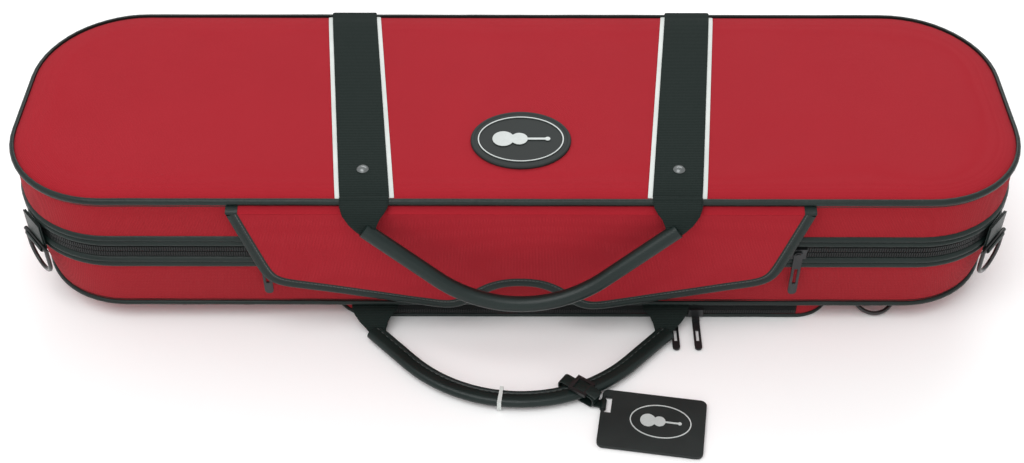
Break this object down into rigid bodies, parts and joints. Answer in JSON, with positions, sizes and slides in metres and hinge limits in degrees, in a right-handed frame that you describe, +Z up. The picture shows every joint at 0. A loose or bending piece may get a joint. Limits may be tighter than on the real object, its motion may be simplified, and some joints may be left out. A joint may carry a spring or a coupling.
{
  "type": "violin case",
  "caption": "Oblong soft-covered violin case with a zipped hinged lid, front flap, carrying handles, music pocket, strap rings and a padded interior.",
  "frame": {"origin": "centre of the base in plan, on the resting face under the music pocket", "axes": "+Z up, +X along the length towards the right-hand end, the front with the handles faces -Y"},
  "size_m": [0.806, 0.3707, 0.1516],
  "materials": {
    "cloth": "woven matt red cloth",
    "leatherette": "satin dark leatherette",
    "webbing": "ribbed black webbing",
    "reflective": "pale reflective tape",
    "board": "plain laminated board",
    "plush": "grey plush",
    "ribbon": "dark ribbon",
    "coil": "black coil and tape",
    "zip_metal": "black lacquered metal",
    "ring_metal": "black lacquered wire",
    "badge_rubber": "matt black moulding",
    "light_mark": "light raised mark",
    "cap": "dark domed cap",
    "hard_plastic": "black moulded plastic"
  },
  "bodies": {
    "base": {"base_shell": "board", "base_cover": "cloth", "base_piping": "leatherette", "base_zip_binding": "leatherette", "base_zip_coil": "coil", "base_webbing": "webbing", "hinge_fabric_lower": "cloth", "base_lining": "plush", "lower_bout_pad": "plush", "upper_bout_pad": "plush", "neck_cradle": "plush", "compartment_walls": "plush", "ring_tabs": "leatherette", "pocket_panel": "cloth", "pocket_gusset": "cloth", "pocket_piping": "leatherette", "pocket_zip_tape": "coil"},
    "lid": {"lid_shell": "board", "lid_cover_side": "cloth", "lid_cover_top": "cloth", "lid_piping": "leatherette", "lid_zip_binding": "leatherette", "lid_zip_coil": "coil", "lid_webbing": "webbing", "reflective_strips": "reflective", "cap_rivets": "cap", "badge_plate": "badge_rubber", "badge_motif": "light_mark", "hinge_fabric_upper": "cloth", "lid_lining": "plush", "bow_spinner_mounts": "hard_plastic", "bow_tip_sleeves": "plush", "flap_seam": "cloth"},
    "flap": {"front_flap": "cloth", "front_flap_binding": "leatherette"},
    "upper_handle": {"upper_handle_grip": "leatherette", "upper_handle_tails": "webbing"},
    "lower_handle": {"lower_handle_grip": "leatherette", "lower_handle_tails": "webbing", "lower_handle_band": "reflective", "tag_strap": "leatherette", "tag_buckle": "hard_plastic"},
    "tag": {"tag_plate": "badge_rubber", "tag_motif": "light_mark"},
    "slider_left": {"zip_slider_left": "zip_metal"},
    "slider_right": {"zip_slider_right": "zip_metal"},
    "pull_left": {"zip_pull_left": "zip_metal"},
    "pull_right": {"zip_pull_right": "zip_metal"},
    "pocket_slider_left": {"pocket_slider_left": "zip_metal"},
    "pocket_slider_right": {"pocket_slider_right": "zip_metal"},
    "pocket_pull_left": {"pocket_pull_left": "zip_metal"},
    "pocket_pull_right": {"pocket_pull_right": "zip_metal"},
    "end_ring_left": {"end_ring_left": "ring_metal"},
    "end_ring_right": {"end_ring_right": "ring_metal"},
    "base_ring": {"base_ring": "ring_metal"},
    "neck_strap": {"neck_strap": "ribbon"},
    "side_compartment_lid": {"side_compartment_lid": "plush"},
    "rosin_compartment_lid": {"rosin_compartment_lid": "plush"},
    "bow_spinner_left": {"bow_spinner_left": "hard_plastic"},
    "bow_spinner_right": {"bow_spinner_right": "hard_plastic"}
  },
  "joints": [
    {"name": "lid_hinge", "type": "hinge", "parent": "base", "child": "lid", "pos_m": [0, 0.1164, 0.088], "axis": [-1, 0, 0], "range_deg": [0, 105]},
    {"name": "flap_hinge", "type": "hinge", "parent": "lid", "child": "flap", "pos_m": [0.005, -0.123, 0.1365], "axis": [-1, 0, 0], "range_deg": [0, 12]},
    {"name": "upper_handle_hinge", "type": "hinge", "parent": "lid", "child": "upper_handle", "pos_m": [0.005, -0.129, 0.1405], "axis": [-1, 0, 0], "range_deg": [-8, 120]},
    {"name": "lower_handle_hinge", "type": "hinge", "parent": "base", "child": "lower_handle", "pos_m": [0.005, -0.114, 0.0169], "axis": [-1, 0, 0], "range_deg": [0, 45]},
    {"name": "tag_hinge", "type": "hinge", "parent": "lower_handle", "child": "tag", "pos_m": [0.07, -0.2, 0.0026], "axis": [-0.1478, -0.989, 0], "range_deg": [0, 35]},
    {"name": "slider_left_slide", "type": "slide", "parent": "base", "child": "slider_left", "axis": [-1, 0, 0], "range_m": [0, 0.115]},
    {"name": "slider_right_slide", "type": "slide", "parent": "base", "child": "slider_right", "axis": [1, 0, 0], "range_m": [0, 0.089]},
    {"name": "pull_left_swing", "type": "hinge", "parent": "slider_left", "child": "pull_left", "pos_m": [-0.197, -0.119, 0.088], "axis": [0, 1, 0], "range_deg": [-60, 60]},
    {"name": "pull_right_swing", "type": "hinge", "parent": "slider_right", "child": "pull_right", "pos_m": [0.223, -0.119, 0.088], "axis": [0, 1, 0], "range_deg": [-60, 60]},
    {"name": "pocket_slider_left_slide", "type": "slide", "parent": "base", "child": "pocket_slider_left", "axis": [-1, 0, 0], "range_m": [0, 0.12]},
    {"name": "pocket_slider_right_slide", "type": "slide", "parent": "base", "child": "pocket_slider_right", "axis": [1, 0, 0], "range_m": [0, 0.075]},
    {"name": "pocket_pull_left_swing", "type": "hinge", "parent": "pocket_slider_left", "child": "pocket_pull_left", "pos_m": [0.132, -0.1115, 0.00225], "axis": [0, 0, 1], "range_deg": [-20, 8]},
    {"name": "pocket_pull_right_swing", "type": "hinge", "parent": "pocket_slider_right", "child": "pocket_pull_right", "pos_m": [0.15, -0.1115, 0.00225], "axis": [0, 0, 1], "range_deg": [-8, 20]},
    {"name": "end_ring_left_swing", "type": "hinge", "parent": "base", "child": "end_ring_left", "pos_m": [-0.38564, -0.08976, 0.074], "axis": [-0.6428, 0.766, 0], "range_deg": [0, 150]},
    {"name": "end_ring_right_swing", "type": "hinge", "parent": "base", "child": "end_ring_right", "pos_m": [0.38564, -0.08976, 0.074], "axis": [-0.6428, -0.766, 0], "range_deg": [0, 150]},
    {"name": "base_ring_swing", "type": "hinge", "parent": "base", "child": "base_ring", "pos_m": [0.299, -0.082, 0.01535], "axis": [-1, 0, 0], "range_deg": [0, 20]},
    {"name": "neck_strap_hinge", "type": "hinge", "parent": "base", "child": "neck_strap", "pos_m": [0.0346, 0.027, 0.0655], "axis": [-1, 0, 0], "range_deg": [0, 100]},
    {"name": "side_lid_hinge", "type": "hinge", "parent": "base", "child": "side_compartment_lid", "pos_m": [0.109, -0.096, 0.073], "axis": [1, 0, 0], "range_deg": [0, 90]},
    {"name": "rosin_lid_hinge", "type": "hinge", "parent": "base", "child": "rosin_compartment_lid", "pos_m": [0.378, 0.046, 0.073], "axis": [0, 1, 0], "range_deg": [0, 95]},
    {"name": "bow_spinner_left_turn", "type": "hinge", "parent": "lid", "child": "bow_spinner_left", "pos_m": [-0.262, -0.048, 0.1214], "axis": [0, 0, 1], "range_deg": [0, 90]},
    {"name": "bow_spinner_right_turn", "type": "hinge", "parent": "lid", "child": "bow_spinner_right", "pos_m": [-0.262, 0.048, 0.1214], "axis": [0, 0, 1], "range_deg": [0, 90]}
  ]
}
